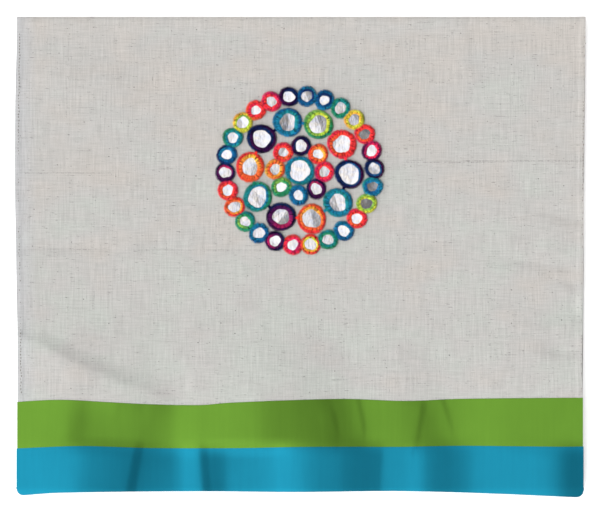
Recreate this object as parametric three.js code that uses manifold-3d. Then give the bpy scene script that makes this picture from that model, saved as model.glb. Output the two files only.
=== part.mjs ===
// Embroidered table runner, folded in four with its decorated end on top. Millimetres, +Z up.
// X runs across the runner, the decorated end faces -Y, and the origin is the middle of the base.
import * as THREE from "three";
import { mergeVertices } from "three/addons/utils/BufferGeometryUtils.js";
import Module from "manifold-3d";

const wasm = await Module();
wasm.setup();

// The whole runner is 54 inches long. Folded in four it shows a quarter of that.
const runnerLength = 1372;
const layerCount = 4;
const foldedLength = runnerLength / layerCount;
const backFoldY = foldedLength / 2;

// Cloth
const linenThickness = 1.2;
const bandThickness = 1.4;
const layerGap = 0.5;
const pieceGap = 0.3;
const layerPitch = linenThickness + layerGap;
const topLayerBase = (layerCount - 1) * layerPitch;
const topLayerFace = topLayerBase + linenThickness;
const cornerRadius = 5.5;

// The lower layers stop short of the near end, so that the bands hide their fold from above.
const frontFoldInset = 8;
const rearFoldInset = 2.5;
const hiddenEndInset = 11;

// Side edges of the top layer, from the fold to the near end
const sideEdges = [
  { y: -171.5, left: -202.6, right: 202.1 },
  { y: -137, left: -202.3, right: 202.0 },
  { y: -102, left: -201.7, right: 201.3 },
  { y: -59, left: -201.9, right: 201.3 },
  { y: 62, left: -203.6, right: 202.4 },
  { y: 171.5, left: -202.4, right: 203.6 },
];

// Side edges where the lower layers turn, from the back fold under the top layer to the hidden end
const turnEdges = [
  { turn: 1, left: -202.4, right: 203.6 },
  { turn: 2, left: -201.2, right: 200.9 },
  { turn: 3, left: -202.0, right: 202.3 },
  { turn: 4, left: -200.8, right: 201.2 },
];

// The two band seams and the near hem, each a slightly wavy line across the runner
const linenSeam = [
  { x: -203, y: -103.2 },
  { x: -171, y: -101.7 },
  { x: -138, y: -103.3 },
  { x: -107, y: -104.9 },
  { x: -72, y: -105.5 },
  { x: -50, y: -103.8 },
  { x: 0, y: -101.8 },
  { x: 35, y: -101.2 },
  { x: 76, y: -102.6 },
  { x: 114, y: -101.1 },
  { x: 203, y: -100.2 },
];
const bandSeam = [
  { x: -203, y: -136.4 },
  { x: -158, y: -134.8 },
  { x: -108, y: -136.1 },
  { x: -50, y: -136.0 },
  { x: 0, y: -135.3 },
  { x: 72, y: -135.3 },
  { x: 118, y: -134.6 },
  { x: 185, y: -135.2 },
  { x: 203, y: -134.9 },
];
const nearHem = [
  { x: -203, y: -170.2 },
  { x: -172, y: -167.9 },
  { x: -72, y: -166.9 },
  { x: -7, y: -167.4 },
  { x: 71, y: -166.8 },
  { x: 142, y: -168.7 },
  { x: 203, y: -171.5 },
];

// How high the cloth waves across each band, at its crests, troughs and steeper places. The waves run
// on into the linen and fade there. Lean is their sideways run per mm towards the fold.
const greenWaves = [
  { x: -203, rise: 2.0, lean: 0 },
  { x: -168, rise: 3.6, lean: 0.1 },
  { x: -150, rise: 3.0, lean: 0.1 },
  { x: -121, rise: 2.4, lean: 0 },
  { x: -93, rise: 1.8, lean: 0 },
  { x: -71, rise: 3.0, lean: 0 },
  { x: -32, rise: 4.3, lean: 0 },
  { x: -7, rise: 3.7, lean: -0.1 },
  { x: 15, rise: 2.5, lean: -0.2 },
  { x: 28, rise: 1.4, lean: -0.2 },
  { x: 44, rise: 0.5, lean: -0.2 },
  { x: 75, rise: 0.8, lean: -0.1 },
  { x: 107, rise: 0.0, lean: -0.15 },
  { x: 143, rise: 1.1, lean: 0 },
  { x: 203, rise: 2.2, lean: 0 },
];
const blueWaves = [
  { x: -203, rise: 1.5, lean: 0 },
  { x: -164, rise: 4.8, lean: 0.1 },
  { x: -149, rise: 4.9, lean: 0.15 },
  { x: -122, rise: 3.4, lean: 0.18 },
  { x: -114, rise: 2.1, lean: 0.18 },
  { x: -93, rise: 0.7, lean: 0.05 },
  { x: -84, rise: 0.6, lean: 0 },
  { x: -72, rise: 1.4, lean: -0.08 },
  { x: -64, rise: 0.7, lean: -0.08 },
  { x: -50, rise: 0.0, lean: 0 },
  { x: -21, rise: 0.9, lean: 0 },
  { x: -7, rise: 2.5, lean: 0 },
  { x: 11, rise: 3.4, lean: 0.05 },
  { x: 36, rise: 2.6, lean: 0.05 },
  { x: 64, rise: 0.8, lean: 0 },
  { x: 79, rise: 0.9, lean: 0 },
  { x: 91, rise: 1.5, lean: 0 },
  { x: 114, rise: 0.5, lean: 0 },
  { x: 129, rise: 0.5, lean: 0 },
  { x: 157, rise: 2.4, lean: 0 },
  { x: 179, rise: 3.0, lean: 0 },
  { x: 203, rise: 1.5, lean: 0 },
];
const greenMiddleY = -119;
const blueMiddleY = -151;
const seamBlend = 9;
const waveStart = -78;
const waveFull = -104;
const hemDroop = 1.2;
const hemDroopStart = -164;

// Wrinkles in the linen, each a soft ridge from one point to another: the diagonal one, the storage
// crease on both sides of the embroidery, and the short ones near the right edge
const wrinkles = [
  { x1: -200, y1: -60, x2: -163, y2: -70, halfWidth: 8, height: 1.1 },
  { x1: -163, y1: -70, x2: -100, y2: -96, halfWidth: 9, height: 1.5 },
  { x1: -203, y1: 4, x2: -36, y2: 4.5, halfWidth: 5, height: 0.8 },
  { x1: 34, y1: 3.5, x2: 84, y2: 5, halfWidth: 5, height: 0.7 },
  { x1: 86, y1: 9, x2: 112, y2: 14, halfWidth: 5, height: 0.9 },
  { x1: 128, y1: -4, x2: 190, y2: -9, halfWidth: 6, height: 1.1 },
  { x1: 168, y1: 32, x2: 202, y2: 22, halfWidth: 6, height: 1.0 },
  { x1: 140, y1: -52, x2: 202, y2: -44, halfWidth: 6, height: 0.9 },
  { x1: 121, y1: 168, x2: 128, y2: 120, halfWidth: 6, height: 0.8 },
];

// Round mirrors sewn on in rings about one centre. A stitched ring holds each mirror by its edge.
const medallion = { x: -0.4, y: 61.8 };
const medallionFlatRadius = 66;
const mirrorThickness = 0.5;
const mirrorSizes = {
  small: { mirror: 5.0, window: 4.3, crown: 5.6, foot: 6.0, outer: 7.0, sides: 12 },
  large: { mirror: 7.75, window: 7.0, crown: 8.5, foot: 8.9, outer: 10.3, sides: 16 },
};
const crownHeight = 1.9;
const lipHeight = 1.5;
const circles = [
  { name: "centre", count: 1, radius: 0, startAngle: 0, size: "large", tied: false },
  { name: "inner", count: 8, radius: 17.6, startAngle: 87, size: "small", tied: false },
  { name: "middle", count: 10, radius: 35.5, startAngle: -4, size: "large", tied: true },
  { name: "rim", count: 26, radius: 53.2, startAngle: 98.4, size: "small", tied: false },
];
const tie = { length: 3.4, width: 1.6, height: 1.1 };

const materials = {
  linen: new THREE.MeshStandardMaterial({ color: 0xcbcac4, roughness: 0.9, metalness: 0 }),
  green: new THREE.MeshStandardMaterial({ color: 0x6fa338, roughness: 0.5, metalness: 0 }),
  blue: new THREE.MeshStandardMaterial({ color: 0x2199bc, roughness: 0.5, metalness: 0 }),
  mirror: new THREE.MeshStandardMaterial({ color: 0xe6e8ea, roughness: 0.08, metalness: 1 }),
  centre: new THREE.MeshStandardMaterial({ color: 0x0e8b8a, roughness: 0.6, metalness: 0 }),
  inner: new THREE.MeshStandardMaterial({ color: 0xc22a4c, roughness: 0.6, metalness: 0 }),
  middle: new THREE.MeshStandardMaterial({ color: 0x1b5f96, roughness: 0.6, metalness: 0 }),
  rim: new THREE.MeshStandardMaterial({ color: 0xe8562c, roughness: 0.6, metalness: 0 }),
};

const runner = new THREE.Group();

function addMesh(name, geometry, material) {
  const mesh = new THREE.Mesh(geometry, material);
  mesh.name = name;
  runner.add(mesh);
  return mesh;
}

// A smooth curve through a table's rows, which rise in the column named from
function follow(rows, from, to, at) {
  const last = rows.length - 1;
  const clamped = THREE.MathUtils.clamp(at, rows[0][from], rows[last][from]);
  let i = 0;
  while (i < last - 1 && clamped > rows[i + 1][from]) i += 1;
  const slope = (k) => {
    const before = rows[Math.max(k - 1, 0)];
    const after = rows[Math.min(k + 1, last)];
    return (after[to] - before[to]) / (after[from] - before[from]);
  };
  const span = rows[i + 1][from] - rows[i][from];
  const t = (clamped - rows[i][from]) / span;
  const rise = rows[i + 1][to] - rows[i][to];
  const bend = slope(i) * span * (1 - t) ** 2 * t - slope(i + 1) * span * (1 - t) * t ** 2;
  return rows[i][to] + rise * t ** 2 * (3 - 2 * t) + bend;
}

function bump(distance, halfWidth) {
  return Math.exp(-((distance / halfWidth) ** 2));
}

function wrinkleHeight(x, y) {
  let height = 0;
  for (const w of wrinkles) {
    const along = new THREE.Vector2(w.x2 - w.x1, w.y2 - w.y1);
    const offset = new THREE.Vector2(x - w.x1, y - w.y1);
    const share = THREE.MathUtils.clamp(offset.dot(along) / along.lengthSq(), 0, 1);
    offset.addScaledVector(along, -share);
    height += w.height * bump(offset.length(), w.halfWidth);
  }
  return height;
}

function waveRise(waves, middleY, x, y) {
  const leaned = x - follow(waves, "x", "lean", x) * (y - middleY);
  return follow(waves, "x", "rise", leaned);
}

// How far the top layer stands above its flat place. The embroidery keeps the cloth flat around it.
function lift(x, y) {
  const { smoothstep, lerp } = THREE.MathUtils;
  const fromMedallion = Math.hypot(x - medallion.x, y - medallion.y);
  const loose = smoothstep(fromMedallion, medallionFlatRadius - 8, medallionFlatRadius + 8);
  const awayFromFold = smoothstep(backFoldY - y, 3, 16);
  const belowSeam = follow(bandSeam, "x", "y", x) - y;
  const waves = lerp(
    waveRise(greenWaves, greenMiddleY, x, y),
    waveRise(blueWaves, blueMiddleY, x, y),
    smoothstep(belowSeam, -seamBlend / 2, seamBlend / 2),
  );
  const waved = waves * smoothstep(waveStart - y, 0, waveStart - waveFull);
  const drooped = hemDroop * smoothstep(hemDroopStart - y, 0, 8);
  return wrinkleHeight(x, y) * loose * awayFromFold + waved - drooped;
}

// A closed sheet: a box with a grid on its faces, each point of it moved to where place puts it.
// place is given the column and row of the point, and 1 on the upper face or 0 on the lower.
function sheet(columns, rows, place) {
  const box = new THREE.BoxGeometry(1, 1, 1, columns, rows, 1);
  const points = box.getAttribute("position");
  for (let i = 0; i < points.count; i += 1) {
    const column = Math.round((points.getX(i) + 0.5) * columns);
    const row = Math.round((points.getY(i) + 0.5) * rows);
    const moved = place(column, row, points.getZ(i) > 0 ? 1 : 0);
    points.setXYZ(i, moved.x, moved.y, moved.z);
  }
  box.computeVertexNormals();
  return box;
}

// Linen panel: one back-and-forth section of four layers with three turns

const linenColumns = 34;

// Shares of the top layer's length from the seam, close together where the wrinkles are
const topShares = [0, 0.04, 0.08, 0.12, 0.16, 0.2, 0.25, 0.3, 0.345, 0.37, 0.39, 0.41, 0.435, 0.48, 0.56];
topShares.push(0.66, 0.76, 0.86, 0.93, 0.97);
const lowerShares = [0, 1 / 3, 2 / 3];
const turnSteps = 5;

// The stations of the section: which layer, how far along it, and the angle round a turn
function sectionStations() {
  const stations = topShares.map((share) => ({ layer: 0, share }));
  for (let turn = 1; turn < layerCount; turn += 1) {
    for (let step = 0; step <= turnSteps; step += 1) {
      stations.push({ turn, angle: (Math.PI * step) / turnSteps });
    }
    const shares = turn === layerCount - 1 ? [...lowerShares.slice(1), 1] : lowerShares.slice(1);
    for (const share of shares) stations.push({ layer: turn, share });
  }
  return stations;
}

const turnRadius = layerPitch / 2;
const turnReach = turnRadius + linenThickness / 2;

// Where the middle of the cloth turns, by turn, as the centre of its bend
const turnCentres = {
  1: backFoldY - turnReach,
  2: -backFoldY + frontFoldInset + turnReach,
  3: backFoldY - rearFoldInset - turnReach,
  4: -backFoldY + hiddenEndInset,
};

function edgesAt(turn) {
  return turnEdges.find((row) => row.turn === turn);
}

// One point of the linen: the middle of the cloth, then half its thickness along its own normal
function linenPoint(stations, column, row, upper) {
  const station = stations[row];
  const share = column / linenColumns;
  const half = (upper - 0.5) * linenThickness;
  if (station.turn) {
    const edges = edgesAt(station.turn);
    const outward = station.turn % 2 === 1 ? 1 : -1;
    const radius = turnRadius + half * outward;
    const level = topLayerBase + linenThickness / 2 - (station.turn - 0.5) * layerPitch;
    return new THREE.Vector3(
      THREE.MathUtils.lerp(edges.left, edges.right, share),
      turnCentres[station.turn] + outward * radius * Math.sin(station.angle),
      level + radius * Math.cos(station.angle),
    );
  }
  if (station.layer === 0) {
    const seamX = THREE.MathUtils.lerp(
      follow(sideEdges, "y", "left", linenSeam[0].y),
      follow(sideEdges, "y", "right", linenSeam[0].y),
      share,
    );
    const seamY = follow(linenSeam, "x", "y", seamX) + pieceGap / 2;
    const y = THREE.MathUtils.lerp(seamY, turnCentres[1], station.share);
    const left = follow(sideEdges, "y", "left", y);
    const right = follow(sideEdges, "y", "right", y);
    const x = THREE.MathUtils.lerp(left, right, share);
    return new THREE.Vector3(x, y, topLayerBase + upper * linenThickness + lift(x, y));
  }
  const from = edgesAt(station.layer);
  const to = edgesAt(station.layer + 1);
  const side = station.layer % 2 === 1 ? -1 : 1;
  const level = topLayerBase + linenThickness / 2 - station.layer * layerPitch;
  return new THREE.Vector3(
    THREE.MathUtils.lerp(
      THREE.MathUtils.lerp(from.left, to.left, station.share),
      THREE.MathUtils.lerp(from.right, to.right, station.share),
      share,
    ),
    THREE.MathUtils.lerp(turnCentres[station.layer], turnCentres[station.layer + 1], station.share),
    level + half * side,
  );
}

function linenPanel() {
  const stations = sectionStations();
  return sheet(linenColumns, stations.length - 1, (column, row, upper) =>
    linenPoint(stations, column, row, upper),
  );
}

addMesh("linen_panel", linenPanel(), materials.linen);

// Bands: two plain strips across the near end

const bandColumns = 80;
const cornerSteps = 4;

// The share of the width for a band's column, with a few close columns round each front corner
function bandShare(column, width) {
  const cornerShare = cornerRadius / width;
  const fromEnd = Math.min(column, bandColumns - column);
  if (fromEnd >= cornerSteps) {
    const middle = (column - cornerSteps) / (bandColumns - 2 * cornerSteps);
    return THREE.MathUtils.lerp(cornerShare, 1 - cornerShare, middle);
  }
  const share = cornerShare * (1 - Math.cos((fromEnd / cornerSteps) * (Math.PI / 2)));
  return column < bandColumns / 2 ? share : 1 - share;
}

function bandStrip(rows, farLine, nearLine, roundCorners) {
  return sheet(bandColumns, rows, (column, row, upper) => {
    const midY = (follow(farLine, "x", "y", 0) + follow(nearLine, "x", "y", 0)) / 2;
    const left = follow(sideEdges, "y", "left", midY);
    const right = follow(sideEdges, "y", "right", midY);
    const x = THREE.MathUtils.lerp(left, right, bandShare(column, right - left));
    const toSide = Math.min(x - left, right - x);
    const inCorner = Math.max(cornerRadius - toSide, 0);
    const cut = cornerRadius - Math.sqrt(Math.max(cornerRadius ** 2 - inCorner ** 2, 0));
    const far = follow(farLine, "x", "y", x) - pieceGap / 2;
    const near = follow(nearLine, "x", "y", x) + (roundCorners ? cut : pieceGap / 2);
    const y = THREE.MathUtils.lerp(near, far, row / rows);
    return new THREE.Vector3(x, y, topLayerBase + upper * bandThickness + lift(x, y));
  });
}

addMesh("green_band", bandStrip(3, linenSeam, bandSeam, false), materials.green);
addMesh("blue_band", bandStrip(4, bandSeam, nearHem, true), materials.blue);

// Mirrors and the stitched rings that hold them

function solidOf(geometry) {
  const bare = geometry.clone();
  bare.deleteAttribute("normal");
  bare.deleteAttribute("uv");
  const merged = mergeVertices(bare, 1e-4);
  const triVerts = new Uint32Array(merged.index.array);
  const vertProperties = merged.getAttribute("position").array;
  return new wasm.Manifold(new wasm.Mesh({ numProp: 3, vertProperties, triVerts }));
}

function geometryOf(solid) {
  const mesh = solid.getMesh();
  const geometry = new THREE.BufferGeometry();
  geometry.setAttribute("position", new THREE.BufferAttribute(mesh.vertProperties, 3));
  geometry.setIndex(new THREE.BufferAttribute(mesh.triVerts, 1));
  geometry.computeVertexNormals();
  return geometry;
}

// A ring of thread over a mirror's edge: a foot on the cloth, a rounded crown and a lip over the glass
function stitchedRing(size) {
  const profile = [
    new THREE.Vector2(size.outer, 0),
    new THREE.Vector2(size.crown, crownHeight),
    new THREE.Vector2(size.window, lipHeight),
    new THREE.Vector2(size.foot, 0),
    new THREE.Vector2(size.outer, 0),
  ];
  return new THREE.LatheGeometry(profile, size.sides).rotateX(Math.PI / 2);
}

// The places of one circle's mirrors
function mirrorPlaces(circle) {
  const places = [];
  for (let i = 0; i < circle.count; i += 1) {
    const angle = THREE.MathUtils.degToRad(circle.startAngle - (i * 360) / circle.count);
    places.push({
      angle,
      x: medallion.x + circle.radius * Math.cos(angle),
      y: medallion.y + circle.radius * Math.sin(angle),
    });
  }
  return places;
}

// A short stitched tie between two neighbours of a circle, halfway between their places
function stitchedTie(circle, angle) {
  const halfStep = Math.PI / circle.count;
  const middleRadius = circle.radius * Math.cos(halfStep);
  return new THREE.BoxGeometry(tie.length, tie.width, tie.height)
    .rotateZ(angle - halfStep + Math.PI / 2)
    .translate(
      medallion.x + middleRadius * Math.cos(angle - halfStep),
      medallion.y + middleRadius * Math.sin(angle - halfStep),
      tie.height / 2,
    );
}

const trimBase = topLayerFace + pieceGap;

for (const circle of circles) {
  const size = mirrorSizes[circle.size];
  const stitching = [];
  mirrorPlaces(circle).forEach((place, i) => {
    const disc = new THREE.CylinderGeometry(size.mirror, size.mirror, mirrorThickness, size.sides);
    disc.rotateX(Math.PI / 2);
    const number = String(i + 1).padStart(2, "0");
    const name = circle.count === 1 ? "mirror_centre" : "mirror_" + circle.name + "_" + number;
    const mirror = addMesh(name, disc, materials.mirror);
    mirror.position.set(place.x, place.y, trimBase + mirrorThickness / 2);
    stitching.push(solidOf(stitchedRing(size).rotateZ(place.angle).translate(place.x, place.y, 0)));
    if (circle.tied) stitching.push(solidOf(stitchedTie(circle, place.angle)));
  });
  const joined = stitching.reduce((all, ring) => all.add(ring));
  const rings = addMesh("stitching_" + circle.name, geometryOf(joined), materials[circle.name]);
  rings.position.z = trimBase;
}

export default runner;
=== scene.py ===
import bmesh
import bpy
import math
import numpy as np
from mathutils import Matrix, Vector


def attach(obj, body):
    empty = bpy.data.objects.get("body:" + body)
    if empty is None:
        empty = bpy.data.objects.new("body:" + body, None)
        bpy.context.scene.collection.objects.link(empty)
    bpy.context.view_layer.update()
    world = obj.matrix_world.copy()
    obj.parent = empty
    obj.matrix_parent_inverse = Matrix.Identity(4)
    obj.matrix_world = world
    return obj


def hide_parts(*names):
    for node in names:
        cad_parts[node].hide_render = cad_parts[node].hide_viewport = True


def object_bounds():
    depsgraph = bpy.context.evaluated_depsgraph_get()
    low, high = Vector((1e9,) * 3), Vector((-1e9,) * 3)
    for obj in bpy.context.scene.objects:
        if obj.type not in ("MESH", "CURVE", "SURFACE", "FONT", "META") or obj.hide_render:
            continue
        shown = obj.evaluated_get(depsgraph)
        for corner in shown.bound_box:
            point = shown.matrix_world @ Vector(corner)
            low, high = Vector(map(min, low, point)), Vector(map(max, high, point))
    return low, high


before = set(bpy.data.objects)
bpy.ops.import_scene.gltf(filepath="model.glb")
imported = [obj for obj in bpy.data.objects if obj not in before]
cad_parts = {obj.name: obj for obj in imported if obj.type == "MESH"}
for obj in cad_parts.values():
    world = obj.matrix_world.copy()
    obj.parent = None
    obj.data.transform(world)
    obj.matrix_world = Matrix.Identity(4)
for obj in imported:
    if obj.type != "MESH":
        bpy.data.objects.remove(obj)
cadLow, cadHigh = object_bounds()
print("frame loaded,", len(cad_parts), "nodes")

mm = 0.001  # lengths below are in millimetres, and meshes are made in metres
frameWidth = (cadHigh[0] - cadLow[0]) / mm


# Small helpers


def smoothstep(value, start, end):
    share = np.clip((value - start) / (end - start), 0, 1)
    return share * share * (3 - 2 * share)


def blend(a, b, share):
    return a + (b - a) * share


def bump(distance, halfWidth):
    return np.exp(-((distance / halfWidth) ** 2))


def column(rows, name):
    return np.array([row[name] for row in rows], float)


def follow(rows, given, wanted, at):  # a smooth curve through a table's rows
    knots = column(rows, given)
    values = column(rows, wanted)
    last = len(rows) - 1
    clamped = np.clip(at, knots[0], knots[last])
    i = np.clip(np.searchsorted(knots, clamped) - 1, 0, last - 1)
    before = np.maximum(np.arange(last + 1) - 1, 0)
    after = np.minimum(np.arange(last + 1) + 1, last)
    slope = (values[after] - values[before]) / (knots[after] - knots[before])
    span = knots[i + 1] - knots[i]
    t = (clamped - knots[i]) / span
    rise = values[i + 1] - values[i]
    bend = slope[i] * span * (1 - t) ** 2 * t - slope[i + 1] * span * (1 - t) * t**2
    return values[i] + rise * t**2 * (3 - 2 * t) + bend


def table(names, *rows):  # short tables: the column names once, then a tuple for each row
    return [dict(zip(names.split(), row)) for row in rows]


def newPiece(name, points, faces):
    mesh = bpy.data.meshes.new(name)
    mesh.from_pydata((np.asarray(points) * mm).tolist(), [], faces)
    mesh.polygons.foreach_set("use_smooth", np.full(len(faces), True))
    mesh.update()
    piece = bpy.data.objects.new(name, mesh)
    bpy.context.scene.collection.objects.link(piece)
    return piece


def tubeFaces(rings, sides):  # the points stand in rings, one after the other; both ends are closed
    faces = []
    for ring in range(rings - 1):
        for side in range(sides):
            a = ring * sides + side
            b = ring * sides + (side + 1) % sides
            faces.append((a, a + sides, b + sides, b))
    faces.append(tuple(range(sides)))
    faces.append(tuple((rings - 1) * sides + side for side in reversed(range(sides))))
    return faces


# Materials


def colour(hexCode):  # sRGB hex to linear
    parts = [int(hexCode[i : i + 2], 16) / 255 for i in (1, 3, 5)]
    linear = [p / 12.92 if p <= 0.04045 else ((p + 0.055) / 1.055) ** 2.4 for p in parts]
    return (*linear, 1)


def addNode(tree, kind, inputs={}, **settings):  # an input is a value, a node or a node's socket
    node = tree.nodes.new("ShaderNode" + kind)
    for name, value in settings.items():
        setattr(node, name, value)
    for socket, value in inputs.items():
        if isinstance(value, bpy.types.Node):
            value = value.outputs[0]
        if isinstance(value, bpy.types.NodeSocket):
            tree.links.new(value, node.inputs[socket])
        else:
            node.inputs[socket].default_value = value
    return node


def newMaterial(name):
    material = bpy.data.materials.new(name)
    material.use_nodes = True
    material.node_tree.nodes.clear()
    return material, material.node_tree


def unevenness(tree, rows):  # patterns by name, each with its size in mm along x, y and z
    place = addNode(tree, "TexCoord").outputs["Object"]
    made = {}
    for row in rows:
        scale = [1 / (row[axis] * mm) for axis in "xyz"]
        sized = addNode(tree, "Mapping", {"Vector": place, "Scale": scale})
        look = {"Vector": sized, "Scale": 1.0, "Detail": row["detail"], "Roughness": 0.6}
        made[row["name"]] = addNode(tree, "TexNoise", look)
    return made


linenFinish = {
    "base": "#B1AFAC",
    "warm": "#B4AFAA",
    "cool": "#B1B3AE",
    "edge": "#B2B3B6",  # paler where the left hem keeps the cloth double
    "edgeMm": 16,
    "edgeShare": 0.8,
    "warmFrom": -100,  # warmer towards the back fold, greener towards the bands, between these mm
    "warmTo": 170,
    "warmShare": 0.1,
    "yarnDepth": 0.16,
    "weftShare": 0.85,  # the weft shows a little less than the warp
    "fibreDepth": 0.06,
    "relief": 0.4,
    "reliefMm": 0.25,
    "slubRelief": 3.0,  # slubs stand higher than the other yarns
    "roughness": 0.92,
    "specular": 0.2,
}
# flax yarn is about 0.6 mm thick: warp and weft are drawn at 1.1 mm, so that they show
linenPatterns = table(
    "name x y z detail",
    ("warp", 1.1, 20, 1000, 1.0),
    ("weft", 15, 1.0, 1000, 1.0),
    ("fibres", 0.8, 0.8, 0.8, 2.0),
    ("breaks", 1.4, 1.1, 1000, 2.0),
    ("patches", 60, 34, 1000, 2.0),
)

# Slubs: thick places in the yarns, one to a cell of so many mm, as long and wide as its share of the
# cell; only some of the cells keep theirs
slubSets = table(
    "cellX cellY share keep depth shift",
    (15, 2.7, 0.14, 0.36, 0.38, 3.1),
    (9, 2.1, 0.16, 0.36, 0.33, 8.7),
    (60, 3.4, 0.13, 0.2, 0.26, 1.7),
    (2.6, 14, 0.13, 0.32, 0.22, 5.9),
    (3.4, 30, 0.12, 0.3, 0.16, 2.3),
    (9, 8, 0.07, 0.2, 0.65, 6.3),
)
# single thick weft yarns, and painted shade along the creases where the runner was folded for storage
# (the last two rows)
longDarkLines = table(
    "start end y depth",
    (71, 142, 67.6, 0.22),
    (100, 203, 68.6, 0.26),
    (-204, -186, 85.0, 0.3),
    (-203, -130, 60.0, 0.2),
    (-186, -140, 102.5, 0.12),
    (60, 91, -86.5, 0.14),
    # painted shade: darker lines along the storage crease, where the fold lies
    (-200, -140, 5.6, 0.08),
    (-128, -24, 5.0, 0.14),
)
darkLineShape = {
    "solid": 0.55,  # a slub is at its darkest out to here, as a share of its size
    "faintest": 0.3,
    "longSolid": 0.2,  # and for the long ones (long slubs and the painted crease shade) in mm, with how far they fade at either end
    "longEdge": 0.6,
    "longFade": 6,
    "breaks": (0.42, 0.58),  # where the crossing yarns hide part of a slub and of the painted crease shade
    "leastShown": 0.1,
}


def slubs(tree, place, row):
    scale = (1 / (row["cellX"] * mm), 1 / (row["cellY"] * mm), 1)
    shift = (row["shift"], row["shift"] * 2, 0)
    sized = addNode(tree, "Mapping", {"Vector": place, "Location": shift, "Scale": scale})
    cells = addNode(tree, "TexVoronoi", {"Vector": sized, "Scale": 1.0}, voronoi_dimensions="2D")
    draw = addNode(tree, "SeparateColor", {"Color": cells.outputs["Color"]})
    width = {"Value": cells.outputs["Distance"], "To Min": 1, "To Max": 0}
    width |= {"From Min": row["share"] * darkLineShape["solid"], "From Max": row["share"]}
    depth = {"Value": draw.outputs[1], "To Max": row["depth"]}
    depth["To Min"] = darkLineShape["faintest"] * row["depth"]
    line = addNode(tree, "MapRange", width)
    dark = addNode(tree, "MapRange", depth)
    kept = addNode(tree, "Math", {0: draw.outputs[0], 1: row["keep"]}, operation="LESS_THAN")
    shown = addNode(tree, "Math", {0: line, 1: kept}, operation="MULTIPLY")
    return addNode(tree, "Math", {0: shown, 1: dark}, operation="MULTIPLY")


def longDarkLine(tree, place, row):
    x, y = place.outputs["X"], place.outputs["Y"]
    fade = darkLineShape["longFade"] * mm
    width = {"From Min": darkLineShape["longSolid"] * mm, "From Max": darkLineShape["longEdge"] * mm}
    width |= {"To Min": row["depth"], "To Max": 0}
    start = {"Value": x, "From Min": row["start"] * mm, "From Max": row["start"] * mm + fade}
    end = {"Value": x, "From Min": row["end"] * mm, "From Max": row["end"] * mm - fade}
    aside = addNode(tree, "Math", {0: y, 1: row["y"] * mm}, operation="SUBTRACT")
    width["Value"] = addNode(tree, "Math", {0: aside}, operation="ABSOLUTE")
    line = addNode(tree, "MapRange", width)
    for limit in (start, end):
        share = addNode(tree, "MapRange", limit)
        line = addNode(tree, "Math", {0: line, 1: share}, operation="MULTIPLY")
    return line


def washedLinen():
    # washed flax in plain weave: dry and matt, with thick slubs that lie dark along the yarns
    f = linenFinish
    material, tree = newMaterial("washedLinen")
    uneven = unevenness(tree, linenPatterns)
    place = addNode(tree, "TexCoord").outputs["Object"]
    parts = addNode(tree, "SeparateXYZ", {0: place})

    slubsAndCreaseShade = [slubs(tree, place, row) for row in slubSets]
    # the long lines hold thick weft yarns and painted shade along the storage creases
    slubsAndCreaseShade += [longDarkLine(tree, parts, row) for row in longDarkLines]
    together = slubsAndCreaseShade[0]
    for one in slubsAndCreaseShade[1:]:
        together = addNode(tree, "Math", {0: together, 1: one}, operation="ADD")
    first, last = darkLineShape["breaks"]
    breaks = {"Value": uneven["breaks"], "From Min": first, "From Max": last}
    breaks["To Min"] = darkLineShape["leastShown"]
    broken = addNode(tree, "MapRange", breaks)
    lines = addNode(tree, "Math", {0: together, 1: broken}, operation="MULTIPLY")

    both = {0: uneven["weft"], 1: f["weftShare"], 2: uneven["warp"]}
    yarns = addNode(tree, "Math", both, operation="MULTIPLY_ADD")
    woven = {"Value": yarns, "From Min": 0.45, "From Max": 1.4}
    woven |= {"To Min": 1 - f["yarnDepth"], "To Max": 1 + f["yarnDepth"]}
    fibres = {"Value": uneven["fibres"], "From Min": 0.2, "From Max": 0.8}
    fibres |= {"To Min": -f["fibreDepth"], "To Max": f["fibreDepth"]}
    woven = addNode(tree, "MapRange", woven)
    fibres = addNode(tree, "MapRange", fibres)
    light = addNode(tree, "Math", {0: woven, 1: fibres}, operation="ADD")
    light = addNode(tree, "Math", {0: light, 1: lines}, operation="SUBTRACT")

    toBack = {"Value": parts.outputs["Y"], "From Min": f["warmFrom"] * mm, "From Max": f["warmTo"] * mm}
    toBack |= {"To Min": -f["warmShare"], "To Max": f["warmShare"]}
    toBack = addNode(tree, "MapRange", toBack)
    patches = addNode(tree, "Math", {0: uneven["patches"], 1: toBack}, operation="ADD")
    leftSide = -frameWidth / 2 * mm
    inEdge = {"Value": parts.outputs["X"], "From Min": leftSide, "From Max": leftSide + f["edgeMm"] * mm}
    inEdge |= {"To Min": f["edgeShare"], "To Max": 0}
    tone = colour(f["cool"])
    for share, added in (
        ({"Value": patches, "From Min": 0.3, "From Max": 0.5}, "base"),
        ({"Value": patches, "From Min": 0.5, "From Max": 0.7}, "warm"),
        (inEdge, "edge"),
    ):
        share = addNode(tree, "MapRange", share)
        tone = addNode(tree, "MixRGB", {0: share, 1: tone, 2: colour(f[added])})
    shaded = addNode(tree, "MixRGB", {0: 1.0, 1: tone, 2: light}, blend_type="MULTIPLY")

    raised = {0: lines, 1: f["slubRelief"], 2: yarns}
    height = addNode(tree, "Math", raised, operation="MULTIPLY_ADD")
    relief = {"Height": height, "Strength": f["relief"], "Distance": f["reliefMm"] * mm}
    look = {"Base Color": shaded, "Normal": addNode(tree, "Bump", relief)}
    look |= {"Roughness": f["roughness"], "Specular IOR Level": f["specular"]}
    shader = addNode(tree, "BsdfPrincipled", look)
    addNode(tree, "OutputMaterial", {"Surface": shader})
    return material


satinFinish = {
    "greenAtEdge": "#A9D060",
    "blueAtEdge": "#62BEE0",
    "green": "#577E2A",
    "blue": "#16738C",
    "shadeDepth": 0.035,
    "roughness": 0.3,
    "metallic": 0.7,  # filament yarn gives the light back in its own dye colour
    "specular": 0.2,
}
satinPatterns = table("name x y z detail", ("streaks", 3, 45, 1000, 2.0), ("clouds", 25, 25, 1000, 2.0))


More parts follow.
